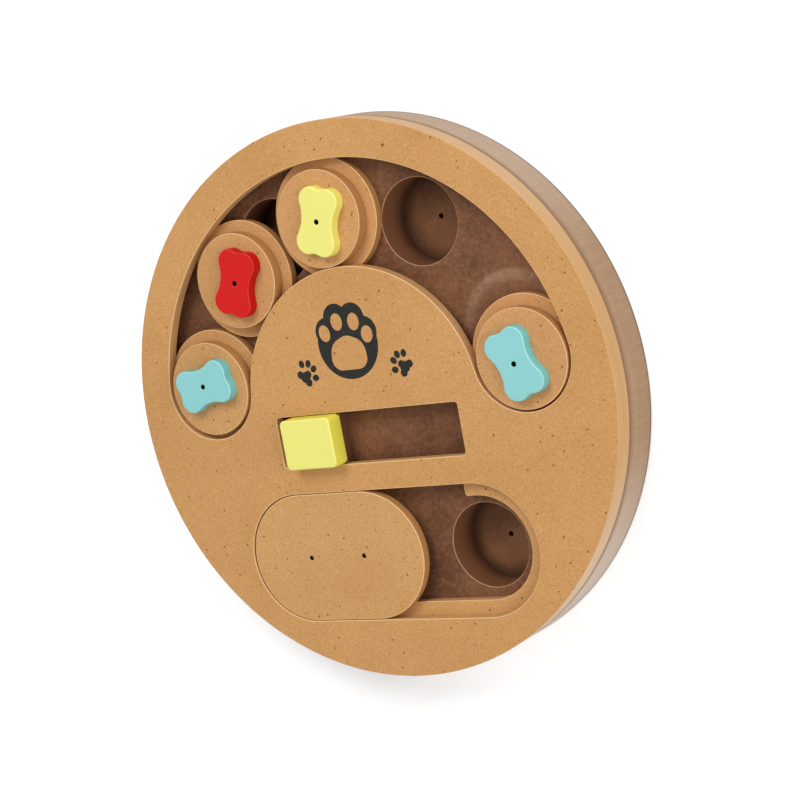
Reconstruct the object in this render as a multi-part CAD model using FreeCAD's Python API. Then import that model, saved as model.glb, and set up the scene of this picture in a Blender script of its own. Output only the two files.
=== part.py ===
import math
import os

import FreeCAD
import Part

os.makedirs("parts", exist_ok=True)

# Round wooden puzzle feeder, millimetres, lying flat with its face up (+Z).
# The origin is the centre of the underside, and +Y points at the arc channel.

# Four boards, glued in a stack from the bottom up
DISC_R = 125.0
BACK_T, CUP_T, GUIDE_T, FACE_T = 2.5, 18.0, 5.0, 5.0
Z_CUP = BACK_T
Z_FLOOR = Z_CUP + CUP_T
Z_LIP = Z_FLOOR + GUIDE_T
Z_TOP = Z_LIP + FACE_T
EDGE = 0.4

# Clearances of the sliding pieces
GAP_SIDE = 0.4
GAP_UNDER = 0.2
GAP_OVER = 0.3
GAP_TURN = 0.1
RUN_FIT = 0.06
TRACK_PLAY = 1.8

# Arc channel, concentric with the disc, with round ends. Its groove holds the flanges down.
RIM_WALL = 11.8
TRACK_END = 9.0
MOUTH_HALF = 23.5
FLANGE_R, FLANGE_H = 26.8, GUIDE_T - GAP_UNDER - GAP_OVER
GROOVE_HALF = FLANGE_R + TRACK_PLAY
TRACK_R = DISC_R - RIM_WALL - GROOVE_HALF

# Cups drilled right through the cup board, each over a small hole in the back
CUP_R, CENTRE_HOLE_R = 19.0, 1.1
CUP_ANGLES = (TRACK_END, 61.8, 116.4, 180.0 - TRACK_END)

# Oval recess for the lid: its mouth, the ledge the lid lies on, and the notch for the tongue
OVAL_R, OVAL_WALL, OVAL_FOOT_WALL, LEDGE_W = 29.8, 12.2, 26.5, 6.5
OVAL_Y = OVAL_R + OVAL_FOOT_WALL - DISC_R
OVAL_X = math.sqrt((DISC_R - OVAL_WALL - OVAL_R) ** 2 - OVAL_Y ** 2)
LEDGE_R = OVAL_R - LEDGE_W
LID_GAP, LID_STOP, LID_X = 0.3, 0.58, 17.0
LID_R = OVAL_R - LID_GAP
LID_REST = LID_X + LID_STOP - OVAL_X
RUNNER_R, RUNNER_X = LEDGE_R - GAP_SIDE, 13.0
TONGUE_HALF, TONGUE_LIP = 12.0, 2.3
TONGUE_TOP = OVAL_Y + OVAL_R + TONGUE_LIP
NOTCH_HALF = TONGUE_HALF + GAP_SIDE - LID_REST
PIN_R, PIN_X, PIN_SINK, PIN_FLOOR = 1.0, 14.6, 0.8, 1.0

# Straight slot for the block, and the wider groove its foot runs in
HUB_WALL, BRIDGE, SLOT_HALF_Y, SLOT_CORNER = 12.5, 12.5, 11.7, 1.5
SLOT_HALF_X = TRACK_R - MOUTH_HALF - HUB_WALL
SLOT_Y = OVAL_Y + OVAL_R + BRIDGE + SLOT_HALF_Y
BLOCK_GAP, BLOCK_HALF_X, BLOCK_FROM_END = 0.3, 13.7, 7.1
BLOCK_HALF_Y = SLOT_HALF_Y - BLOCK_GAP
BLOCK_X = BLOCK_HALF_X + BLOCK_FROM_END - SLOT_HALF_X
BLOCK_SINK, BLOCK_RISE, BLOCK_CORNER, BLOCK_EDGE = 1.5, 8.0, 2.5, 0.8
FOOT_IN, FOOT_LIP, FOOT_CORNER = 3.3, 3.8, 3.0
FOOT_HALF_X, FOOT_HALF_Y = BLOCK_HALF_X - FOOT_IN, SLOT_HALF_Y + FOOT_LIP
NECK_IN_X, NECK_IN_Y, NECK_CORNER = 3.6, 1.8, 1.0

# Pucks: a flange in the groove, a disc above it and a bone-shaped grip glued on the disc
DISC_RISE = 0.6
PUCK_R, DISC_TOP = MOUTH_HALF - TRACK_PLAY, Z_TOP + DISC_RISE
SPIGOT_R, SPIGOT_BITE = 8.0, 1.0
BONE_T, BONE_EDGE = 5.0, 0.8
LOBE_R, LOBE_X, LOBE_Y = 5.9, 9.1, 4.15
WAIST_R, DIMPLE_R = 16.0, 6.0
BRAD_DEPTH, BRAD_SINK = 5.0, 2.4
# Loose in the track, the pucks hang a little towards -Y, as in the photograph
HANG, LEFT_HANG, RIGHT_HANG = 1.6, 0.7, -0.4
END_REST, GAP_LEFT_RED, GAP_RED_YELLOW = 0.35, 0.94, 1.88


def spacing(gap):
    # angle on the track between two pucks whose flanges stand this far apart
    return math.degrees(2.0 * math.asin((FLANGE_R + gap / 2.0) / (TRACK_R - HANG)))


LEFT_AT = 180.0 - TRACK_END - END_REST
RED_AT = LEFT_AT - spacing(GAP_LEFT_RED)
YELLOW_AT = RED_AT - spacing(GAP_RED_YELLOW)
RIGHT_AT = TRACK_END - 0.6
# name: distance from the middle, angle, turn of the bone, how far off centre it was glued
PUCKS = {
    "left": (TRACK_R - LEFT_HANG, LEFT_AT, 12.0, (0.0, 2.0)),
    "red": (TRACK_R - HANG, RED_AT, 70.5, (2.7, -0.8)),
    "yellow": (TRACK_R - HANG, YELLOW_AT, 73.5, (2.3, -1.0)),
    "right": (TRACK_R - RIGHT_HANG, RIGHT_AT, 110.0, (-1.1, -1.2)),
}

V = FreeCAD.Vector
UP = V(0, 0, 1)


def polar(r, deg, z=0.0):
    return V(r * math.cos(math.radians(deg)), r * math.sin(math.radians(deg)), z)


def solid(edges, z0, z1):
    face = Part.Face(Part.Wire(edges))
    face.translate(V(0, 0, z0))
    return face.extrude(V(0, 0, z1 - z0))


def arc(a, through, b):
    return Part.Arc(a, through, b).toShape()


def cylinder(x, y, r, z0, z1):
    return Part.makeCylinder(r, z1 - z0, V(x, y, z0), UP)


def channel(half, z0, z1):
    a, b = TRACK_END, 180.0 - TRACK_END
    inner, outer = TRACK_R - half, TRACK_R + half
    tip_a = polar(TRACK_R, a) + polar(half, a - 90.0)
    tip_b = polar(TRACK_R, b) + polar(half, b + 90.0)
    return solid([
        arc(polar(outer, a), polar(outer, 90.0), polar(outer, b)),
        arc(polar(outer, b), tip_b, polar(inner, b)),
        arc(polar(inner, b), polar(inner, 90.0), polar(inner, a)),
        arc(polar(inner, a), tip_a, polar(outer, a)),
    ], z0, z1)


def stadium(cx, cy, half_x, r, z0, z1):
    left, right = cx - half_x, cx + half_x
    return solid([
        Part.makeLine(V(left, cy - r, 0), V(right, cy - r, 0)),
        arc(V(right, cy - r, 0), V(right + r, cy, 0), V(right, cy + r, 0)),
        Part.makeLine(V(right, cy + r, 0), V(left, cy + r, 0)),
        arc(V(left, cy + r, 0), V(left - r, cy, 0), V(left, cy - r, 0)),
    ], z0, z1)


def rounded_box(cx, cy, half_x, half_y, r, z0, z1):
    box = Part.makeBox(2 * half_x, 2 * half_y, z1 - z0, V(cx - half_x, cy - half_y, z0))
    posts = [e for e in box.Edges if abs(e.tangentAt(e.FirstParameter).z) > 0.99]
    return box.makeFillet(r, posts)


def bone(cx, cy, turn, z0, z1):
    # four lobes joined by hollow waists on the long sides and shallow dimples at the ends
    waist_y = LOBE_Y + math.sqrt((LOBE_R + WAIST_R) ** 2 - LOBE_X ** 2)
    dimple_x = LOBE_X + math.sqrt((LOBE_R + DIMPLE_R) ** 2 - LOBE_Y ** 2)
    side = V(LOBE_X - LOBE_X * LOBE_R / (LOBE_R + WAIST_R),
             LOBE_Y + (waist_y - LOBE_Y) * LOBE_R / (LOBE_R + WAIST_R), 0)
    end = V(LOBE_X + (dimple_x - LOBE_X) * LOBE_R / (LOBE_R + DIMPLE_R),
            LOBE_Y - LOBE_Y * LOBE_R / (LOBE_R + DIMPLE_R), 0)
    out = V(LOBE_X, LOBE_Y, 0) + polar(LOBE_R, 45.0)

    def at(p, sx, sy):
        return V(p.x * sx, p.y * sy, 0)

    edges = []
    for sx in (1, -1):
        edges.append(arc(at(end, sx, -1), V(sx * (dimple_x - DIMPLE_R), 0, 0), at(end, sx, 1)))
        for sy in (1, -1):
            edges.append(arc(at(end, sx, sy), at(out, sx, sy), at(side, sx, sy)))
    for sy in (1, -1):
        edges.append(arc(at(side, 1, sy), V(0, sy * (waist_y - WAIST_R), 0), at(side, -1, sy)))
    body = solid(Part.__sortEdges__(edges), z0, z1)
    body = soften(body, BONE_EDGE, z1)
    body.rotate(V(0, 0, 0), UP, turn)
    body.translate(V(cx, cy, 0))
    return body


def edges_at(shape, z):
    return [e for e in shape.Edges
            if abs(e.BoundBox.ZMin - z) < 1e-4 and abs(e.BoundBox.ZMax - z) < 1e-4]


def soften(shape, r, z):
    return shape.makeFillet(r, edges_at(shape, z))


def save(name, shape):
    shape.exportStep("parts/" + name + ".step")


def disc(z0, z1):
    return cylinder(0, 0, DISC_R, z0, z1)


# The cups stand at four places on the track and under the two ends of the oval
cups = [(polar(TRACK_R, a).x, polar(TRACK_R, a).y) for a in CUP_ANGLES]
cups += [(-OVAL_X, OVAL_Y), (OVAL_X, OVAL_Y)]

back = disc(0, BACK_T)
wells = disc(Z_CUP, Z_FLOOR)
for cx, cy in cups:
    back = back.cut(cylinder(cx, cy, CENTRE_HOLE_R, 0, BACK_T))
    wells = wells.cut(cylinder(cx, cy, CUP_R, Z_CUP, Z_FLOOR))
save("back_board", back)
save("cup_board", wells)

guide = disc(Z_FLOOR, Z_LIP)
guide = guide.cut(channel(GROOVE_HALF, Z_FLOOR, Z_LIP))
guide = guide.cut(stadium(0, OVAL_Y, OVAL_X, LEDGE_R, Z_FLOOR, Z_LIP))
notch_top = TONGUE_TOP + GAP_SIDE
guide = guide.cut(Part.makeBox(2 * NOTCH_HALF, notch_top - OVAL_Y, GUIDE_T,
                               V(-NOTCH_HALF, OVAL_Y, Z_FLOOR)))
groove_x = SLOT_HALF_X + FOOT_CORNER
guide = guide.cut(rounded_box(0, SLOT_Y, groove_x, FOOT_HALF_Y + GAP_SIDE, FOOT_CORNER,
                              Z_FLOOR, Z_LIP))
save("guide_board", guide)

face = disc(Z_LIP, Z_TOP)
face = face.cut(channel(MOUTH_HALF, Z_LIP, Z_TOP))
face = face.cut(stadium(0, OVAL_Y, OVAL_X, OVAL_R, Z_LIP, Z_TOP))
face = face.cut(rounded_box(0, SLOT_Y, SLOT_HALF_X, SLOT_HALF_Y, SLOT_CORNER, Z_LIP, Z_TOP))
save("face_board", soften(face, EDGE, Z_TOP))

# Pucks: the disc's spigot turns in the flange, and a brad holds the bone on the disc
flange_z = Z_FLOOR + GAP_UNDER
flange_top = flange_z + FLANGE_H
bone_top = DISC_TOP + BONE_T
for name, (reach, angle, turn, (dx, dy)) in PUCKS.items():
    c = polar(reach, angle)
    bx, by = c.x + dx, c.y + dy
    brad_z = DISC_TOP - BRAD_DEPTH
    flange = cylinder(c.x, c.y, FLANGE_R, flange_z, flange_top)
    flange = flange.cut(cylinder(c.x, c.y, SPIGOT_R + RUN_FIT, flange_z, flange_top))
    save(name + "_flange", soften(flange, EDGE, flange_top))
    top = cylinder(c.x, c.y, PUCK_R, flange_top + GAP_TURN, DISC_TOP)
    top = soften(top, EDGE, DISC_TOP)
    top = top.fuse(cylinder(c.x, c.y, SPIGOT_R, flange_z, flange_top + SPIGOT_BITE)).removeSplitter()
    save(name + "_disc", top.cut(cylinder(bx, by, PIN_R, brad_z, DISC_TOP)))
    grip = bone(bx, by, turn, DISC_TOP, bone_top)
    save(name + "_bone", grip.cut(cylinder(bx, by, PIN_R, DISC_TOP, bone_top)))
    save(name + "_brad", cylinder(bx, by, PIN_R, brad_z, bone_top - BRAD_SINK))

# Lid: an oval plate flush with the face, pinned to a runner with a tongue under the face
runner_z = Z_FLOOR + GAP_UNDER
lid = stadium(LID_REST, OVAL_Y, LID_X, LID_R, Z_LIP + GAP_UNDER, Z_TOP)
lid = soften(lid, EDGE, Z_TOP)
runner = stadium(LID_REST, OVAL_Y, RUNNER_X, RUNNER_R, runner_z, Z_LIP + GAP_UNDER)
tongue = Part.makeBox(2 * TONGUE_HALF, TONGUE_TOP - OVAL_Y, FLANGE_H,
                      V(LID_REST - TONGUE_HALF, OVAL_Y, runner_z))
runner = runner.fuse(tongue).removeSplitter()
pin_bottom = runner_z + PIN_FLOOR
for side, sign in (("left", -1), ("right", 1)):
    px = LID_REST + sign * PIN_X
    hole = cylinder(px, OVAL_Y, PIN_R, pin_bottom, Z_TOP)
    lid = lid.cut(hole)
    runner = runner.cut(hole)
    save("lid_pin_" + side, cylinder(px, OVAL_Y, PIN_R, pin_bottom, Z_TOP - PIN_SINK))
save("lid_plate", lid)
save("lid_runner", runner)

# Block: a yellow head over a narrower neck, with a foot held under the lips of the slot
foot_top = Z_LIP - GAP_OVER
head = rounded_box(BLOCK_X, SLOT_Y, BLOCK_HALF_X, BLOCK_HALF_Y, BLOCK_CORNER,
                   Z_TOP - BLOCK_SINK, Z_TOP + BLOCK_RISE)
save("slider_head", soften(head, BLOCK_EDGE, Z_TOP + BLOCK_RISE))
save("slider_neck", rounded_box(BLOCK_X, SLOT_Y, BLOCK_HALF_X - NECK_IN_X, BLOCK_HALF_Y - NECK_IN_Y,
                                NECK_CORNER, foot_top, Z_TOP - BLOCK_SINK))
save("slider_foot", rounded_box(BLOCK_X, SLOT_Y, FOOT_HALF_X, FOOT_HALF_Y, FOOT_CORNER,
                                Z_FLOOR + GAP_UNDER, foot_top))

# The free way of each joint, for the record
print("block travel", BLOCK_GAP - BLOCK_FROM_END,
      2 * (SLOT_HALF_X - BLOCK_HALF_X) - BLOCK_FROM_END - BLOCK_GAP)
print("lid travel", -2 * LID_REST, "free angle", YELLOW_AT - RIGHT_AT - spacing(GAP_SIDE))
print("pucks", [(name, round(row[0], 3), round(row[1], 3)) for name, row in PUCKS.items()])
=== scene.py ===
# %% [markdown]
# This notebook dresses a round wooden puzzle feeder for a dog. The solid parts come from a
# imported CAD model, and every piece made here sits in the same frame, in metres: the feeder
# lies flat with its face up, and the middle of its underside is the origin.

# %% Load the fixed frame
import math

import bmesh
import bpy
from mathutils import Matrix, Vector


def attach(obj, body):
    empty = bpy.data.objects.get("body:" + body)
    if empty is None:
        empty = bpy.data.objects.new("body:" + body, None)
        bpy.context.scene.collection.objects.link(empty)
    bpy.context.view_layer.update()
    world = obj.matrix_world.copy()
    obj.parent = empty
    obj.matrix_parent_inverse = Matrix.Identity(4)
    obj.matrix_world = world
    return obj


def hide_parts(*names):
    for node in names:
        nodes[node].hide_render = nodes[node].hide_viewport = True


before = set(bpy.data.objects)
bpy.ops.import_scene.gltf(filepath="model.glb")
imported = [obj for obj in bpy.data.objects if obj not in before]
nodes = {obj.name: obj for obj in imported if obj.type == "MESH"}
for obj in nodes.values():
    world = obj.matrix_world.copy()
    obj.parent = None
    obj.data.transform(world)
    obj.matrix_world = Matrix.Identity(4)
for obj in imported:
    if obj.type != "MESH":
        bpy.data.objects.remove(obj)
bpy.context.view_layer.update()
scene = bpy.context.scene

# %% [markdown]
# The camera comes first, because every later decision is judged through it. A photograph
# fixes three directions and one place, so the camera is given as a matrix whose columns are
# its right, up and backward directions, not as angles to be guessed.

# %% Camera
CAMERA_AT = (0.49683, 0.10839, 0.72765)
CAMERA_RIGHT = (0.82483268, -0.18029622, -0.5358585)
CAMERA_UP = (0.07943238, 0.9753442, -0.20589848)
CAMERA_BACK = (0.5597692, 0.12726728, 0.81881712)
LENS, SENSOR = 88.369, 36.0  # millimetres

camera = bpy.data.objects.new("camera", bpy.data.cameras.new("camera"))
scene.collection.objects.link(camera)
camera.data.lens, camera.data.sensor_width = LENS, SENSOR
camera.data.clip_start = 0.01
turn = Matrix((CAMERA_RIGHT, CAMERA_UP, CAMERA_BACK)).transposed().to_4x4()
camera.matrix_world = Matrix.Translation(CAMERA_AT) @ turn
scene.camera = camera
scene.view_settings.view_transform = "Standard"
print("camera lens", camera.data.lens)

# %% [markdown]
# These sizes come from the drawing, in millimetres and degrees. Both the finishes and the
# shapes need them: the wood has to be dark where a brad really is, and each opening has to
# lie over its groove.

# %% Sizes from the drawing
MM = 0.001
DISC = 125.0
LEVELS = {"back": (0.0, 2.5), "cup": (2.5, 20.5), "guide": (20.5, 25.5), "face": (25.5, 30.5)}
FACE_TOP = LEVELS["face"][1]
RUNNING = (20.7, 25.2)  # heights of whatever runs in a groove: flanges, runner and foot
TRACK, TRACK_END = 84.6, 9.0
CUP = 19.0
SLOT_Y = -14.7
OVAL_X, OVAL_Y = 46.576, -68.7
LID_X, LID_PIN = -28.996, 14.6
BRAD_HOLE, DRILL_MARK = 1.0, 1.1


def polar(far, angle):
    return far * math.cos(math.radians(angle)), far * math.sin(math.radians(angle))


CUPS = [polar(TRACK, angle) for angle in (TRACK_END, 61.8, 116.4, 180.0 - TRACK_END)]
CUPS += [(-OVAL_X, OVAL_Y), (OVAL_X, OVAL_Y)]
print(len(CUPS), "cups in a disc", 2 * DISC, "mm across")

# %% [markdown]
# Shader maths reads badly as a list of links. A small class wraps one socket, so that an
# expression such as 1 - mask adds its own Math nodes. Another class holds one material,
# makes any other node from its type and its inputs, and has a method for each mask or
# pattern that more than one finish uses.

# %% Shader helpers
def linear(red, green, blue):
    """A colour picked from a photograph, 0 to 255, as the shader wants it."""
    def curve(value):
        value = value / 255.0
        return value / 12.92 if value <= 0.04045 else ((value + 0.055) / 1.055) ** 2.4
    return (curve(red), curve(green), curve(blue), 1.0)


class Wire:
    """One output socket, with arithmetic."""

    def __init__(self, finish, socket):
        self.finish, self.socket = finish, socket

    def math(self, operation, *others):
        node = self.finish.tree.nodes.new("ShaderNodeMath")
        node.operation = operation
        for place, value in zip(node.inputs, others):
            self.finish.put(place, value)
        return Wire(self.finish, node.outputs[0])

    def __add__(self, other): return self.math("ADD", self, other)
    def __radd__(self, other): return self.math("ADD", other, self)
    def __sub__(self, other): return self.math("SUBTRACT", self, other)
    def __rsub__(self, other): return self.math("SUBTRACT", other, self)
    def __mul__(self, other): return self.math("MULTIPLY", self, other)
    def __pow__(self, other): return self.math("POWER", self, other)
    def __abs__(self): return self.math("ABSOLUTE", self)

    def step(self, low, high):
        """0 below low, 1 above high, smooth between."""
        node = self.finish.tree.nodes.new("ShaderNodeMapRange")
        node.interpolation_type = "SMOOTHSTEP"
        for name, value in (("Value", self), ("From Min", low), ("From Max", high)):
            self.finish.put(node.inputs[name], value)
        return Wire(self.finish, node.outputs[0])

    def band(self, low, full, fading, high):
        """0 below low and above high, 1 from full to fading, smooth between."""
        return self.step(low, full) * (1 - self.step(fading, high))


class Finish:
    """One material being made. Places and bump depths are in metres, scales per metre."""

    def __init__(self, name, gloss=0.2):
        self.material = bpy.data.materials.new(name)
        self.material.use_nodes = True
        self.tree = self.material.node_tree
        self.shader = self.tree.nodes["Principled BSDF"]
        self.shader.inputs["Specular IOR Level"].default_value = gloss

    def put(self, place, value):
        if isinstance(value, Wire):
            self.tree.links.new(value.socket, place)
        else:
            place.default_value = value

    def make(self, kind, out=0, **inputs):
        node = self.tree.nodes.new("ShaderNode" + kind)
        for name, value in inputs.items():
            self.put(node.inputs[name], value)
        return Wire(self, node.outputs[out])

    def mix(self, factor, a, b):
        node = self.tree.nodes.new("ShaderNodeMix")
        node.data_type = "RGBA"
        for place, value in zip((node.inputs[0], node.inputs[6], node.inputs[7]), (factor, a, b)):
            self.put(place, value)
        return Wire(self, node.outputs[2])

    def split(self, vector):
        node = self.tree.nodes.new("ShaderNodeSeparateXYZ")
        self.put(node.inputs[0], vector)
        return [Wire(self, out) for out in node.outputs]

    def place(self, out="Object"):
        return self.make("TexCoord", out=out)

    def shifted(self, shift):
        return self.make("Mapping", Vector=self.place(), Location=shift)

    def noise(self, scale, detail=3.0, vector=None, rough=0.55):
        vector = vector or self.place()
        return self.make("TexNoise", Vector=vector, Scale=scale, Detail=detail, Roughness=rough)

    def streaks(self, vector, scales, detail=3.0):
        """Noise with a scale of its own along each axis."""
        return self.noise(1.0, detail, self.make("Mapping", Vector=vector, Scale=scales))

    def spots(self, vector, scale, core, fringe):
        """1 on scattered spots, falling to 0 between two radii, as parts of a cell."""
        cells = self.make("TexVoronoi", Vector=vector, Scale=scale, Randomness=1.0)
        return 1 - cells.step(core, fringe)

    def up(self):
        """The normal's upward part: 1 on level tops, 0 on walls, between them on corners."""
        return self.split(self.place("Normal"))[2]

    def away(self, cx=0.0, cy=0.0):
        """Distance in metres from an upright line whose place is given in millimetres."""
        x, y = self.split(self.place())[:2]
        return ((x - cx * MM) ** 2 + (y - cy * MM) ** 2) ** 0.5

    def rim(self, start, full):
        """0 inside the disc and 1 at its rim, between two depths in from the rim, in mm."""
        return self.away().step((DISC - start) * MM, (DISC - full) * MM)

    def done(self, colour, roughness, bump, strength, depth):
        normal = self.make("Bump", Height=bump, Strength=strength, Distance=depth)
        for name, value in (("Base Color", colour), ("Roughness", roughness), ("Normal", normal)):
            self.put(self.shader.inputs[name], value)
        return self.material


print("shader helpers ready")

# %% [markdown]
# Fibreboard is pressed from fine wood dust. Its sanded face is an even tan with tiny dark
# bark specks, pale fibres and a faint cloudy tone, while a sawn edge is paler and shows
# level layers. One function makes it for every bare piece, and a shift keeps two pieces from
# showing the same patch. The corner of each edge is sanded paler and also carries a painted
# highlight, and the lower right of the rim carries painted light.

# %% Fibreboard
FACE_TAN, FACE_DEEP = linear(203, 153, 96), linear(186, 134, 78)
GUIDE_DEEP, LID_TAN = linear(190, 140, 88), linear(203, 156, 100)
EDGE_PALE, EDGE_SHADED = linear(202, 160, 112), linear(182, 130, 78)
GRAIN_DARK, FIBRE = linear(160, 108, 56), linear(230, 190, 138)
SPECK, ARRIS = linear(104, 64, 30), linear(238, 196, 142)
BAND_PAINTED_LIGHT = linear(222, 198, 172)
HOLE_SHADE = linear(26, 20, 15)


def rim_painted_light(f):
    """Painted light on the rim: 1 on its lower right and less at its top."""
    x, y = f.split(f.place())[:2]
    return ((0 - y).step(0.02, 0.10) + y.step(0.04, 0.10) * 0.35) * x.step(-0.02, 0.04)


def paint_hole_shade(f, colour, holes):
    """Painted shade: each hole and a thin ring round it are made nearly black, where a brad sits
    deep or the drill went through.
    """
    for hole in holes:
        colour = f.mix(1 - f.away(*hole).step(0.00105, 0.00135), colour, HOLE_SHADE)
    return colour


def fibreboard(name, shift, face=FACE_TAN, deep=FACE_DEEP, edge=EDGE_PALE, holes=()):
    f = Finish(name)
    spot = f.shifted(shift)
    clouds = f.noise(22.0, 4.0, spot).step(0.3, 0.7)
    grain = f.noise(1300.0, 4.0, spot, 0.7)
    colour = f.mix(clouds * 0.45, face, deep)
    colour = f.mix((1 - grain.step(0.34, 0.56)) * 0.36, colour, GRAIN_DARK)
    colour = f.mix(grain.step(0.50, 0.72) * 0.20, colour, FIBRE)

    # loose pale fibres lie at a slant and gather in patches
    slant = f.make("Mapping", Vector=spot, Scale=(1.0, 0.22, 1.0), Rotation=(0, 0, 0.4))
    patches = f.noise(150.0, 2.0, spot).step(0.46, 0.60)
    pale = f.spots(slant, 620.0, 0.04, 0.19) * patches
    colour = f.mix(pale * 0.5, colour, ARRIS)

    # small specks, dust between the patches of fibres, and a few large bits of bark
    small = f.spots(spot, 230.0, 0.06, 0.16) * f.noise(190.0, 1.0, spot).step(0.48, 0.56)
    dust = f.spots(spot, 430.0, 0.10, 0.22) * (1 - patches)
    bark = f.spots(spot, 62.0, 0.03, 0.055) * f.noise(40.0, 1.0, spot).step(0.46, 0.54)
    for specks, strength in ((small, 0.85), (dust, 0.35), (bark, 0.9)):
        colour = f.mix(specks * strength, colour, SPECK)

    up = f.up()
    side = 1 - abs(up).step(0.2, 0.75)
    layers = f.streaks(spot, (28.0, 28.0, 1500.0))
    colour = f.mix(side * 0.8, colour, f.mix(layers.step(0.35, 0.7) * 0.5, edge, deep))
    at_rim = f.rim(1.4, 0.6)
    # the rounded corners are sanded paler and also carry a painted highlight, weaker at the rim
    corner = up.band(0.25, 0.6, 0.93, 0.995) * (1 - at_rim * 0.8)
    colour = f.mix(corner * 0.8, colour, ARRIS)
    # painted light on the lower right of the sawn rim
    colour = f.mix(side * at_rim * rim_painted_light(f) * 0.75, colour, BAND_PAINTED_LIGHT)
    colour = paint_hole_shade(f, colour, holes)
    return f.done(colour, 0.56 + grain * 0.14, grain + pale * 0.5,
                  strength=0.25, depth=0.00012)


board_finish = fibreboard("fibreboard_face", (0.0, 0.0, 0.0))
guide_finish = fibreboard("fibreboard_guide", (0.31, 0.1, 0.02), deep=GUIDE_DEEP)
LID_PINS = [(LID_X - LID_PIN, OVAL_Y), (LID_X + LID_PIN, OVAL_Y)]
lid_finish = fibreboard("fibreboard_lid", (0.7, 0.35, 0.1), LID_TAN, edge=EDGE_SHADED,
                        holes=LID_PINS)
print("fibreboard ready")

# %% [markdown]
# The thick cup board is the same sheet, but its upper side and its cups are stained dark
# brown, with thin patches, dust and a paler arc on the track floor. The cups' walls carry
# painted light that fades to painted shade towards their floors. Its sawn rim stays bare and
# is a duller, pinker brown than the two boards above, with painted light on its lower right.
# The material tells rim from top by how far a point lies from the middle. The back board's
# rim is the same.

# %% Stained board
STAIN, STAIN_DARK = linear(130, 86, 58), linear(100, 64, 43)
STAIN_THIN, STAIN_PORE = linear(152, 108, 78), linear(70, 42, 27)
STAIN_FLECK, STAIN_PALE_ARC = linear(170, 130, 100), linear(170, 136, 110)
CUP_WALL_PAINTED_LIGHT, CUP_CREASE_SHADE, CUP_LIP = linear(124, 82, 55), linear(58, 37, 24), linear(190, 146, 112)
RIM_BARE, RIM_DEEP, RIM_FUZZ = linear(168, 136, 105), linear(146, 113, 85), linear(184, 154, 126)
RIM_PAINTED_LIGHT, RIM_SHADE, RIM_FOOT = linear(216, 199, 183), linear(128, 92, 62), linear(84, 62, 46)
PALE_ARC_AT = (79.0, 23.0)


def bare_rim(f):
    """The two lower boards at the rim: level layers, the cutter's fuzz, painted light on the
    lower right and a dark arris.
    """
    spot = f.place()
    layers = f.streaks(spot, (20.0, 20.0, 900.0), 4.0)
    fuzz = f.streaks(spot, (700.0, 700.0, 60.0))
    bare = f.mix(layers.step(0.3, 0.7) * 0.5, RIM_BARE, RIM_DEEP)
    bare = f.mix(fuzz.step(0.4, 0.75) * 0.35, bare, RIM_FUZZ)
    # painted light on the lower right of the rim
    bare = f.mix(rim_painted_light(f) * 0.85, bare, RIM_PAINTED_LIGHT)
    z = f.split(spot)[2]
    return f.mix((1 - z.step(0.0004, 0.0013)) * 0.8, bare, RIM_FOOT)


def stained_board(name):
    f = Finish(name)
    spot = f.place()
    y, z = f.split(spot)[1:]
    cloud = f.noise(35.0, 5.0, spot, 0.6).step(0.3, 0.72)
    fine = f.noise(520.0, 4.0, spot, 0.6)
    colour = f.mix(cloud, STAIN, STAIN_DARK)
    colour = f.mix(fine.step(0.46, 0.72) * 0.34, colour, STAIN_THIN)
    colour = f.mix((1 - fine.step(0.32, 0.5)) * 0.3, colour, STAIN_PORE)
    flecks = f.spots(spot, 260.0, 0.05, 0.13) * f.noise(120.0, 1.0, spot).step(0.56, 0.64)
    colour = f.mix(flecks * 0.5, colour, STAIN_FLECK)

    # a paler arc on the track floor, ahead of the puck at the right-hand end
    pale_arc = f.away(*PALE_ARC_AT).band(0.0195, 0.0245, 0.0255, 0.0275) * y.step(0.020, 0.032)
    patch = f.noise(130.0, 3.0, spot).step(0.25, 0.75)
    colour = f.mix(pale_arc * (0.15 + patch * 0.4), colour, STAIN_PALE_ARC)

    # painted light on the cup walls, fading to painted shade towards the floor; their corners are
    # rubbed pale and carry a painted highlight
    up = f.up()
    wall = 1 - abs(up).step(0.2, 0.7)
    lining = f.mix(fine.step(0.4, 0.7) * 0.3, CUP_WALL_PAINTED_LIGHT, STAIN)
    # painted shade: the walls darken towards the floor
    lining = f.mix((1 - z.step(0.0025, 0.0115)) * 0.75, lining, CUP_CREASE_SHADE)
    colour = f.mix(wall * 0.9, colour, lining)
    colour = f.mix(up.band(0.25, 0.55, 0.93, 0.995) * 0.75, colour, CUP_LIP)

    bare = f.mix(z.step(0.0160, 0.0200) * 0.7, bare_rim(f), RIM_SHADE)
    colour = f.mix(f.rim(1.5, 0.8), colour, bare)
    return f.done(colour, 0.5 + fine * 0.2, fine, strength=0.3, depth=0.00015)


stain_finish = stained_board("stained_board")
print("stained board ready")

# %% [markdown]
# The bones and the block are dipped in satin paint. Paint hides the wood but not its dust:
# the surface is slightly pebbled and thinner on corners. Each colour has its own side tone as
# painted light and shade, and a paler corner tone as a painted highlight. Ink and brads share
# the cell, because they are as short.

# %% Paint, ink and steel
# the side colours paint light and shade on the sides, lighter than the top for the yellows and
# darker for cyan and red; the corner colours paint a highlight
PAINTS = {  # top, side and corner
    "cyan": (linear(140, 202, 202), linear(122, 198, 198), linear(172, 224, 224)),
    "red": (linear(207, 20, 20), linear(190, 12, 14), linear(226, 52, 48)),
    "yellow": (linear(231, 226, 124), linear(241, 236, 114), linear(243, 239, 156)),
    "block": (linear(231, 226, 124), linear(238, 232, 88), linear(243, 239, 156)),
}
INK, INK_WORN = linear(38, 39, 36), linear(60, 60, 56)
STEEL, STEEL_DARK = linear(58, 52, 47), linear(30, 27, 25)


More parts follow.
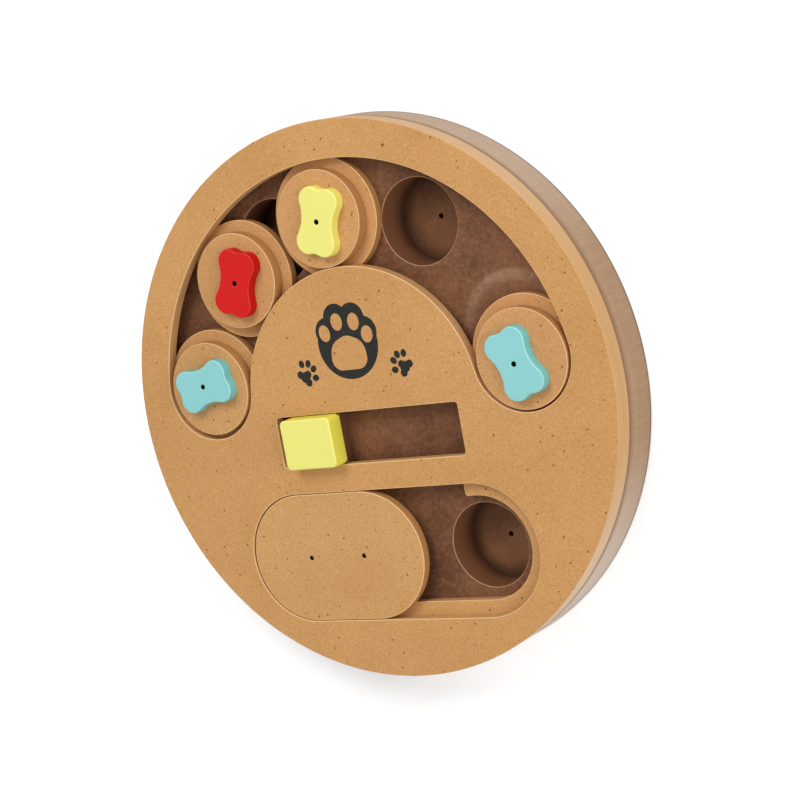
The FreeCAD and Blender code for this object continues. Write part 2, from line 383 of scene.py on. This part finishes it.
def paint(name, top, side, corner, shift, holes=()):
    f = Finish(name, 0.22)
    spot = f.shifted(shift)
    up = f.up()
    # painted light and shade: the sides get the side colour
    colour = f.mix(up.step(0.35, 0.9), side, top)
    # painted highlight on the corners, where the paint is also thinner
    colour = f.mix(up.band(0.3, 0.6, 0.88, 0.985) * 0.5, colour, corner)
    drift = f.noise(90.0, 3.0, spot).step(0.35, 0.7)
    colour = f.mix(drift * 0.16, colour, side)
    colour = paint_hole_shade(f, colour, holes)
    pebble = f.noise(700.0, 3.0, spot)
    brush = f.streaks(spot, (90.0, 900.0, 90.0))
    return f.done(colour, 0.36 + pebble * 0.16, pebble * 0.7 + brush * 0.4,
                  strength=0.16, depth=0.00012)


def ink():
    f = Finish("print_ink")
    worn = f.noise(420.0, 4.0).step(0.42, 0.8)
    colour = f.mix(worn * 0.4, INK, INK_WORN)
    return f.done(colour, 0.5 + worn * 0.15, worn, strength=0.08, depth=0.00005)


def brad_steel():
    f = Finish("brad_steel", 0.5)
    f.shader.inputs["Metallic"].default_value = 0.8
    worn = f.noise(1500.0, 3.0)
    colour = f.mix(worn, STEEL, STEEL_DARK)
    return f.done(colour, 0.35 + worn * 0.3, worn, strength=0.1, depth=0.00005)


block_paint = paint("paint_block", *PAINTS["block"], (0.2, 0.6, 0.0))
ink_finish, steel_finish = ink(), brad_steel()
print("paint, ink and steel ready")

# %% [markdown]
# Every flat piece here was routed from sheet, so its shape is an outline with round corners.
# An outline is kept as arcs. Each arc turns into a few knots of a Bezier curve whose handles
# have the one length that makes a true arc, and arcs that don't meet are joined by a straight
# side. The curve is then filled, thickened and given rounded corners in one go.

# %% Outlines from arcs
KNOT_ANGLE = 46.0  # no two knots of an arc lie further apart
TOUCHING = 0.01  # ends closer than this, in millimetres, are one knot


def arc(cx, cy, r, start, end):
    """Knots of an arc, in millimetres and degrees: point, handle before, handle after."""
    parts = max(1, math.ceil(abs(end - start) / KNOT_ANGLE))
    step = math.radians((end - start) / parts)
    reach = 4.0 / 3.0 * math.tan(step / 4.0) * r
    knots = []
    for i in range(parts + 1):
        a = math.radians(start) + i * step
        point = Vector((cx + r * math.cos(a), cy + r * math.sin(a), 0.0))
        along = Vector((-math.sin(a), math.cos(a), 0.0)) * reach
        before = point - along if i else point
        after = point + along if i < parts else point
        knots.append([point, before, after])
    return knots


def loop(*arcs):
    """A closed outline of arcs, with straight sides where two arcs don't meet."""
    knots = []
    for part in arcs:
        if knots and (knots[-1][0] - part[0][0]).length < TOUCHING:
            knots[-1][2] = part[0][2]
            part = part[1:]
        knots += part
    if (knots[-1][0] - knots[0][0]).length < TOUCHING:
        knots[0][1] = knots.pop()[1]
    return knots


def circle(cx, cy, r):
    return loop(arc(cx, cy, r, 0, 360))


def stadium(cx, cy, half_x, r):
    return loop(arc(cx + half_x, cy, r, -90, 90), arc(cx - half_x, cy, r, 90, 270))


def rounded(cx, cy, half_x, half_y, r):
    x, y = half_x - r, half_y - r
    return loop(arc(cx + x, cy + y, r, 0, 90), arc(cx - x, cy + y, r, 90, 180),
                arc(cx - x, cy - y, r, 180, 270), arc(cx + x, cy - y, r, 270, 360))


def around(points, angle, at=(0.0, 0.0)):
    """Knots turned about the origin and then moved."""
    spin = Matrix.Rotation(math.radians(angle), 3, "Z")
    move = Vector((at[0], at[1], 0.0))
    return [[spin @ p + move for p in knot] for knot in points]


print("a cup's outline has", len(circle(0, 0, CUP)), "knots")

# %% [markdown]
# The same few lines make every plate. The corner radius of the curve's bevel is taken back
# out of the outline, so the size stays that of the drawing. Where a plate stands on another
# piece its lower corner is pressed flat, because two glued faces have no groove. Corners
# shade softly, and edges that turn by more than the crease angle stay sharp.

# %% Plates
TINY = 0.000001  # metres: points closer than this are one
LEVEL = 0.999  # a face whose normal has this much height is flat
CREASE = math.radians(50.0)
FLUSH_REACH = 0.5  # millimetres in from the rim where a corner counts as the rim's


def plate(name, outlines, low, high, edge=0.35, foot=True, detail=10, steps=3, flush=False):
    """A flat piece between two heights, all in millimetres, as a finished mesh object. Its
    corners have the radius edge, but with foot the lower ones are pressed flat, and with
    flush the upper one at the disc's rim stays square, as where two boards meet there."""
    curve = bpy.data.curves.new(name, "CURVE")
    curve.dimensions, curve.fill_mode = "2D", "BOTH"
    below = low - (edge if foot else 0.0)
    curve.bevel_depth, curve.bevel_resolution = edge * MM, steps
    curve.offset = -edge * MM
    curve.extrude = ((high - below) / 2.0 - edge) * MM
    for knots in outlines:
        spline = curve.splines.new("BEZIER")
        spline.bezier_points.add(len(knots) - 1)
        spline.use_cyclic_u, spline.resolution_u = True, detail
        for bezier, (point, before, after) in zip(spline.bezier_points, knots):
            bezier.handle_left_type = bezier.handle_right_type = "FREE"
            bezier.co = point * MM
            bezier.handle_left, bezier.handle_right = before * MM, after * MM
    flat = bpy.data.objects.new(name + "_curve", curve)
    scene.collection.objects.link(flat)
    ready = flat.evaluated_get(bpy.context.evaluated_depsgraph_get())
    mesh = bpy.data.meshes.new_from_object(ready)
    bpy.data.objects.remove(flat)
    bm = bmesh.new()
    bm.from_mesh(mesh)
    bmesh.ops.remove_doubles(bm, verts=bm.verts, dist=TINY)
    bmesh.ops.dissolve_degenerate(bm, edges=bm.edges, dist=TINY)
    bmesh.ops.translate(bm, verts=bm.verts, vec=(0, 0, (high + below) / 2.0 * MM))
    if foot:
        for v in bm.verts:
            v.co.z = max(v.co.z, low * MM)
    if flush:
        for v in bm.verts:
            reach = v.co.xy.length / MM
            if reach > DISC - FLUSH_REACH and v.co.z > (low + high) / 2.0 * MM:
                v.co.xy *= DISC / reach
        bmesh.ops.dissolve_degenerate(bm, edges=bm.edges, dist=TINY)
    bmesh.ops.recalc_face_normals(bm, faces=bm.faces)
    for face in bm.faces:
        face.smooth = abs(face.normal.z) < LEVEL
    for line in bm.edges:
        line.smooth = line.calc_face_angle(0.0) < CREASE
    bm.to_mesh(mesh)
    bm.free()
    piece = bpy.data.objects.new(name, mesh)
    scene.collection.objects.link(piece)
    return piece


def dress(piece, finish, slot, body, *stands_for):
    piece.data.materials.clear()
    piece.data.materials.append(finish)
    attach(piece, body)
    if stands_for:
        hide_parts(*stands_for)
    print(piece.name, len(piece.data.polygons), "faces, rides on", body)


# %% [markdown]
# Four boards make the body. From below: a thin back, the thick board whose cups are drilled
# right through, the guide board with the grooves that the feet and flanges run in, and the
# face board with the openings that show. This cell makes the upper three.

# %% The upper three boards
MOUTH, GROOVE = 23.5, 28.6  # half the channel's width between its lips, and under them
RECESS, LEDGE = 29.8, 23.3  # radius of the oval's ends in the face, and in the guide board
SLOT, SLOT_GROOVE = (48.6, 11.7, 1.5), (51.6, 15.9, 3.0)  # half length, half width, corner
ROUND = 24  # points on each part of a curve of the large discs


def channel(half):
    a, b = TRACK_END, 180.0 - TRACK_END
    ax, ay = polar(TRACK, a)
    return loop(arc(0, 0, TRACK + half, a, b), arc(-ax, ay, half, b, b + 180),
                arc(0, 0, TRACK - half, b, a), arc(ax, ay, half, a - 180, a))


def ledge():
    """The oval's inner opening, with the square notch for the lid's tongue on its +Y side."""
    notch, top, soft, crisp = 41.396, -36.2, 1.2, 0.3
    shoulder = OVAL_Y + LEDGE + soft
    return loop(arc(OVAL_X, OVAL_Y, LEDGE, -90, 90),
                arc(notch + soft, shoulder, soft, -90, -180),
                arc(notch - crisp, top - crisp, crisp, 0, 90),
                arc(-notch + crisp, top - crisp, crisp, 90, 180),
                arc(-notch - soft, shoulder, soft, 0, -90),
                arc(-OVAL_X, OVAL_Y, LEDGE, 90, 270))


rim = circle(0, 0, DISC)
openings = [channel(MOUTH), stadium(0, OVAL_Y, OVAL_X, RECESS), rounded(0, SLOT_Y, *SLOT)]
face = plate("face_board_wood", [rim] + openings, *LEVELS["face"], edge=0.45, detail=ROUND)
dress(face, board_finish, "board_wood", "frame", "face_board")
grooves = [channel(GROOVE), ledge(), rounded(0, SLOT_Y, *SLOT_GROOVE)]
guide = plate("guide_board_wood", [rim] + grooves, *LEVELS["guide"], edge=0.3, foot=False,
              detail=ROUND, flush=True)
dress(guide, guide_finish, "board_wood", "frame", "guide_board")
bores = [circle(x, y, CUP) for x, y in CUPS]
cup = plate("cup_board_wood", [rim] + bores, *LEVELS["cup"], edge=0.4, detail=ROUND)
dress(cup, stain_finish, "stained_board", "frame", "cup_board")

# %% [markdown]
# The back board is the floor of every cup. It is stained with the rest of the cup, and the
# drill's centre point left a small hole in the middle of each.

# %% Back board
FLOOR_STAIN, FLOOR_DARK = linear(132, 88, 58), linear(106, 69, 45)
FLOOR_PALE = linear(160, 118, 86)
BACK_TAN, BACK_DEEP = linear(170, 134, 102), linear(146, 110, 82)


def cup_floor(name):
    f = Finish(name)
    spot = f.place()
    z = f.split(spot)[2]
    fine = f.noise(480.0, 4.0, spot, 0.6)
    cloud = f.noise(60.0, 4.0, spot).step(0.3, 0.7)
    above = f.mix(cloud, FLOOR_STAIN, FLOOR_DARK)
    above = f.mix(fine.step(0.46, 0.75) * 0.35, above, FLOOR_PALE)
    for middle in CUPS:
        # painted shade in the corner between floor and wall
        crease_shade = f.away(*middle).band(0.0125, 0.0190, 0.0194, 0.0197)
        above = f.mix(crease_shade * 0.7, above, CUP_CREASE_SHADE)
    under = f.mix(cloud * 0.5 + fine * 0.2, BACK_TAN, BACK_DEEP)
    colour = f.mix(z.step(0.0019, 0.0023), under, above)
    colour = f.mix(f.rim(0.6, 0.2), colour, bare_rim(f))
    # painted shade in the drill marks in the middle of each cup
    colour = paint_hole_shade(f, colour, CUPS)
    return f.done(colour, 0.55 + fine * 0.2, fine, strength=0.25, depth=0.00015)


back_finish = cup_floor("back_board")
marks = [circle(x, y, DRILL_MARK) for x, y in CUPS]
back = plate("back_board_wood", [rim] + marks, *LEVELS["back"], edge=0.3, foot=False,
             detail=ROUND)
dress(back, back_finish, "back_wood", "frame", "back_board")

# %% [markdown]
# A puck is a wide flange that the lips of the channel hold down, a narrower disc that shows,
# and a painted bone to grip. The bone's outline is eight arcs: four lobes, two hollow waists
# and two shallow dimples, each tangent to the next. The bones are glued on by hand, so each
# has its own turn and sits a little off the middle.

# %% Pucks
LOBE, LOBE_X, LOBE_Y, WAIST, DIMPLE = 5.9, 9.1, 4.15, 16.0, 6.0
FLANGE, BORE, PUCK = 26.8, 8.06, 21.7
PUCK_GAP, PUCK_TOP, BONE_TOP = 0.1, 31.1, 36.1
PUCK_DEEP = linear(184, 134, 82)


def bone_knots():
    """The bone, long way along X, from its arcs' centres and touching points."""
    waist_y = LOBE_Y + math.sqrt((LOBE + WAIST) ** 2 - LOBE_X ** 2)
    dimple_x = LOBE_X + math.sqrt((LOBE + DIMPLE) ** 2 - LOBE_Y ** 2)
    lean = math.degrees(math.atan2(waist_y - LOBE_Y, LOBE_X))
    nod = math.degrees(math.atan2(LOBE_Y, dimple_x - LOBE_X))
    return loop(
        arc(LOBE_X, LOBE_Y, LOBE, -nod, 180 - lean),
        arc(0, waist_y, WAIST, -lean, -180 + lean),
        arc(-LOBE_X, LOBE_Y, LOBE, lean, 180 + nod),
        arc(-dimple_x, 0, DIMPLE, nod, -nod),
        arc(-LOBE_X, -LOBE_Y, LOBE, 180 - nod, 360 - lean),
        arc(0, -waist_y, WAIST, 180 - lean, lean),
        arc(LOBE_X, -LOBE_Y, LOBE, 180 + lean, 360 + nod),
        arc(dimple_x, 0, DIMPLE, 180 + nod, 180 - nod),
    )


PUCKS = {  # distance and angle on the track, turn of the bone, its offset and its paint
    "left": (83.9, 170.65, 12.0, (0.0, 2.0), "cyan"),
    "red": (83.0, 132.288, 70.5, (2.7, -0.8), "red"),
    "yellow": (83.0, 93.238, 73.5, (2.3, -1.0), "yellow"),
    "right": (85.0, 8.4, 110.0, (-1.1, -1.2), "cyan"),
}
for index, (name, (far, angle, twist, off, tint)) in enumerate(PUCKS.items()):
    cx, cy = polar(far, angle)
    bx, by = cx + off[0], cy + off[1]
    hole = circle(bx, by, BRAD_HOLE)
    wood = fibreboard("fibreboard_puck_" + name, (0.17 * index + 0.05, 0.4, 0.3),
                      linear(200 + 2 * index, 152, 97 + index),  # each a shade of its own
                      PUCK_DEEP, EDGE_SHADED)
    ring = plate(name + "_flange_wood", [circle(cx, cy, FLANGE), circle(cx, cy, BORE)],
                 *RUNNING, edge=0.4, foot=False, detail=14)
    dress(ring, wood, "puck_wood", name + "_slide", name + "_flange")
    top = plate(name + "_disc_wood", [circle(cx, cy, PUCK), hole],
                RUNNING[1] + PUCK_GAP, PUCK_TOP, edge=0.4, foot=False, detail=14)
    dress(top, wood, "puck_wood", name + "_knob", name + "_disc")
    grip = plate(name + "_bone_painted", [around(bone_knots(), twist, (bx, by)), hole],
                 PUCK_TOP, BONE_TOP, edge=0.8, steps=4)
    coat = paint("paint_" + name, *PAINTS[tint], (0.3 * index, 0.2, 0.0), [(bx, by)])
    dress(grip, coat, tint + "_paint", name + "_knob", name + "_bone")

# %% [markdown]
# The lid is an oval plate flush with the face. Two brads pin it to a runner below, whose
# tongue slides under the face board in the notch.

# %% Lid
LID_R, LID_HALF, LID_LOW = 29.5, 17.0, 25.7
RUNNER_R, RUNNER_HALF = 22.9, 13.0
TONGUE_X, TONGUE_TOP, TONGUE_CORNER = 11.7, -36.9, 0.3
TONGUE_MEETS = 58.4  # where on the runner's end arc the tongue's side begins, in degrees

pin_holes = [circle(x, y, BRAD_HOLE) for x, y in LID_PINS]
lid = plate("lid_plate_wood", [stadium(LID_X, OVAL_Y, LID_HALF, LID_R)] + pin_holes,
            LID_LOW, FACE_TOP, edge=0.45, foot=False, detail=20)
dress(lid, lid_finish, "lid_wood", "lid", "lid_plate")
runner_outline = loop(arc(LID_X + RUNNER_HALF, OVAL_Y, RUNNER_R, -90, TONGUE_MEETS),
                      arc(LID_X + TONGUE_X, TONGUE_TOP, TONGUE_CORNER, 0, 90),
                      arc(LID_X - TONGUE_X, TONGUE_TOP, TONGUE_CORNER, 90, 180),
                      arc(LID_X - RUNNER_HALF, OVAL_Y, RUNNER_R, 180 - TONGUE_MEETS, 270))
runner = plate("lid_runner_wood", [runner_outline], *RUNNING, edge=0.3, foot=False)
dress(runner, lid_finish, "lid_wood", "lid", "lid_runner")

# %% [markdown]
# The block is a chunky yellow head over a narrower neck, and its foot runs under both lips of
# the slot. The head gets wide soft corners. The neck and the foot are painted as dark as the
# groove, as shade, because only a dark gap shows beside the head.

# %% Block
BLOCK_X, NECK_TOP, BLOCK_TOP = -27.8, 29.0, 38.5
HEAD, NECK = (13.7, 11.4, 2.5), (10.1, 9.6, 1.0)  # half length, half width, corner
HEEL = (10.4, 15.5, 3.0)

head = plate("slider_head_painted", [rounded(BLOCK_X, SLOT_Y, *HEAD)], NECK_TOP, BLOCK_TOP,
             edge=0.9, foot=False, steps=4)
dress(head, block_paint, "yellow_paint", "slider", "slider_head")
# painted shade: the neck and foot take the dark stain, so the gap beside the head looks dark
foot_shade_finish = fibreboard("fibreboard_foot_shade", (0.5, 0.2, 0.7), STAIN, STAIN_DARK, STAIN_DARK)
neck = plate("slider_neck_wood", [rounded(BLOCK_X, SLOT_Y, *NECK)], RUNNING[1], NECK_TOP,
             edge=0.1)
dress(neck, foot_shade_finish, "puck_wood", "slider", "slider_neck")
heel = plate("slider_foot_wood", [rounded(BLOCK_X, SLOT_Y, *HEEL)], *RUNNING, edge=0.3)
dress(heel, foot_shade_finish, "puck_wood", "slider", "slider_foot")

# %% [markdown]
# The six brads are so small that the CAD's own meshes serve, and only get their steel.

# %% Brads
for name, node in nodes.items():
    if name.endswith("_brad") or name.startswith("lid_pin"):
        node.data.materials.clear()
        node.data.materials.append(steel_finish)
        print(name, "is steel")

# %% [markdown]
# Three paw prints are stencilled on the middle of the face. A paw is a generic sign, drawn
# here from circles. A ring of overlapping ones gives the outside of the large print, whose
# toes are ovals and whose pad is a tight belt round five more. A small print is four ovals
# and a ring of six. Ink has almost no thickness, so a print is a plate a few hundredths of a
# millimetre high.

# %% Paw prints
INK_HEIGHT = 0.04
TOE, SMALL_LOBE, SMALL_MIDDLE = (1.45, 1.75), 1.75, 2.55


def meet(a, b):
    """Where two circles cross, on the left of the way from a to b."""
    (ax, ay, ar), (bx, by, br) = a, b
    span = math.hypot(bx - ax, by - ay)
    along = (ar * ar - br * br + span * span) / (2 * span)
    away = math.sqrt(max(ar * ar - along * along, 0.0))
    ux, uy = (bx - ax) / span, (by - ay) / span
    return Vector((ax + along * ux + away * uy, ay + along * uy - away * ux, 0.0))


def scallop(circles):
    """The outside of overlapping circles that are listed anticlockwise round a middle."""
    corners = [meet(a, b) for a, b in zip(circles, circles[1:] + circles[:1])]
    arcs = []
    for (x, y, r), before, after in zip(circles, corners[-1:] + corners[:-1], corners):
        start = math.degrees(math.atan2(before.y - y, before.x - x))
        end = math.degrees(math.atan2(after.y - y, after.x - x))
        arcs.append(arc(x, y, r, start, end + 360.0 * (end <= start)))
    return loop(*arcs)


def belt(circles):
    """A tight belt round circles that are listed anticlockwise."""
    turns = []
    for (ax, ay, ar), (bx, by, br) in zip(circles, circles[1:] + circles[:1]):
        heading = math.atan2(by - ay, bx - ax)
        lean = math.asin((br - ar) / math.hypot(bx - ax, by - ay))
        turns.append(math.degrees(heading - lean) - 90.0)
    arcs = []
    for (x, y, r), start, end in zip(circles, turns[-1:] + turns[:-1], turns):
        arcs.append(arc(x, y, r, start, start + (end - start) % 360.0))
    return loop(*arcs)


def oval(cx, cy, rx, ry, lean=0.0):
    stretch = Matrix.Diagonal((rx, ry, 1.0))
    flat = [[stretch @ p for p in knot] for knot in circle(0, 0, 1.0)]
    return around(flat, lean, (cx, cy))


def ink_print(name, outlines):
    piece = plate(name, outlines, FACE_TOP, FACE_TOP + INK_HEIGHT, edge=0.005, foot=False,
                  steps=0)
    dress(piece, ink_finish, "print_ink", "frame")


big_outside = scallop([(7.7, 31.7, 7.0), (2.9, 38.6, 6.4), (-5.8, 39.1, 6.3),
                       (-11.2, 33.3, 6.4), (-1.6, 27.2, 15.9)])
big_pads = [oval(-5.6, 37.2, 3.0, 3.9, 4), oval(3.3, 36.5, 3.0, 3.9, 0),
            oval(-13.0, 32.7, 2.9, 3.8, 12), oval(9.3, 30.4, 3.0, 3.8, -4),
            belt([(2.2, 20.7, 5.2), (0.2, 22.8, 7.0), (-2.0, 23.1, 7.6), (-4.2, 22.8, 7.0),
                  (-6.3, 20.7, 5.2)])]
ink_print("paw_print_large", [big_outside] + big_pads)


def small_paw(name, toes, lobes, middle):
    """Toe ovals, and a pad whose lobes, listed anticlockwise, join in the middle."""
    pad = []
    for x, y in lobes:
        pad += [(x, y, SMALL_LOBE), (*middle, SMALL_MIDDLE)]
    ink_print(name, [oval(x, y, *TOE, lean) for x, y, lean in toes] + [scallop(pad)])


small_paw("paw_print_left",
          [(-28.6, 20.3, 12), (-25.0, 20.2, -16), (-22.5, 17.7, -52), (-22.1, 13.6, -88)],
          [(-26.2, 11.7), (-26.0, 15.4), (-30.2, 15.5)], (-27.6, 14.2))
small_paw("paw_print_right",
          [(26.4, 20.3, -8), (23.0, 20.0, 20), (20.7, 17.5, 52), (20.7, 13.4, 84)],
          [(25.0, 11.7), (28.5, 15.5), (24.4, 15.6)], (26.0, 14.3))

# %% [markdown]
# A plain pale floor and soft light finish the set. One wide lamp hangs beyond the arc channel
# and a weaker one at the right, and the world gives the rest. The floor is a stage piece: it
# shows the shadow but is no part of the feeder. It glows a little to the camera, as white
# studio paper does, and less below and to the left of the feeder, which paints a soft shadow
# there. Under the feeder it is painted nearly black as shade, so that nothing pale shows
# through the drill marks.

# %% Floor, light and world
WHITE, PAPER, PAPER_DULL = (1.0, 1.0, 1.0, 1.0), (0.86, 0.86, 0.86, 1), (0.8, 0.8, 0.8, 1)
GLOW, GLOW_LOST = 0.38, 0.20
WORLD_STRENGTH = 0.62

bm = bmesh.new()
bmesh.ops.create_grid(bm, x_segments=8, y_segments=8, size=3.0)
floor_mesh = bpy.data.meshes.new("floor")
bm.to_mesh(floor_mesh)
bm.free()
floor = bpy.data.objects.new("floor", floor_mesh)
scene.collection.objects.link(floor)
paper = Finish("paper_floor")
paper.put(paper.shader.inputs["Emission Color"], WHITE)
seen = paper.make("LightPath", out="Is Camera Ray")
fx, fy = paper.split(paper.place())[:2]
clear = paper.rim(0.5, -0.5)  # 1 on the floor that the feeder doesn't cover
near = 1 - paper.away().step(0.14, 0.20)
# painted shadow: less glow below and to the left of the feeder
shade = (0 - fy).step(0.04, 0.12) * (1 - fx.step(-0.06, 0.05)) * near
paper.put(paper.shader.inputs["Emission Strength"], seen * clear * (GLOW - shade * GLOW_LOST))
grain = paper.noise(300.0, 3.0)
# painted shade: the floor under the feeder is nearly black
sheet = paper.mix(clear, HOLE_SHADE, paper.mix(grain * 0.1, PAPER, PAPER_DULL))
finish = paper.done(sheet, 0.9, grain, strength=0.05, depth=0.0002)
floor_mesh.materials.append(finish)


def lamp(name, at, aim, size, watts):
    data = bpy.data.lights.new(name, "AREA")
    data.shape, data.size, data.energy = "DISK", size, watts
    thing = bpy.data.objects.new(name, data)
    thing.location = at
    thing.rotation_euler = (Vector(aim) - Vector(at)).to_track_quat("-Z", "Y").to_euler()
    scene.collection.objects.link(thing)


lamp("window_lamp", at=(0.02, 1.15, 1.45), aim=(0, 0, 0), size=0.9, watts=14.0)
lamp("fill_lamp", at=(1.40, -0.10, 0.75), aim=(0, 0, 0.02), size=1.1, watts=9.0)
world = bpy.data.worlds.new("studio")
scene.world = world
world.use_nodes = True
background = world.node_tree.nodes["Background"]
background.inputs["Color"].default_value = WHITE
background.inputs["Strength"].default_value = WORLD_STRENGTH
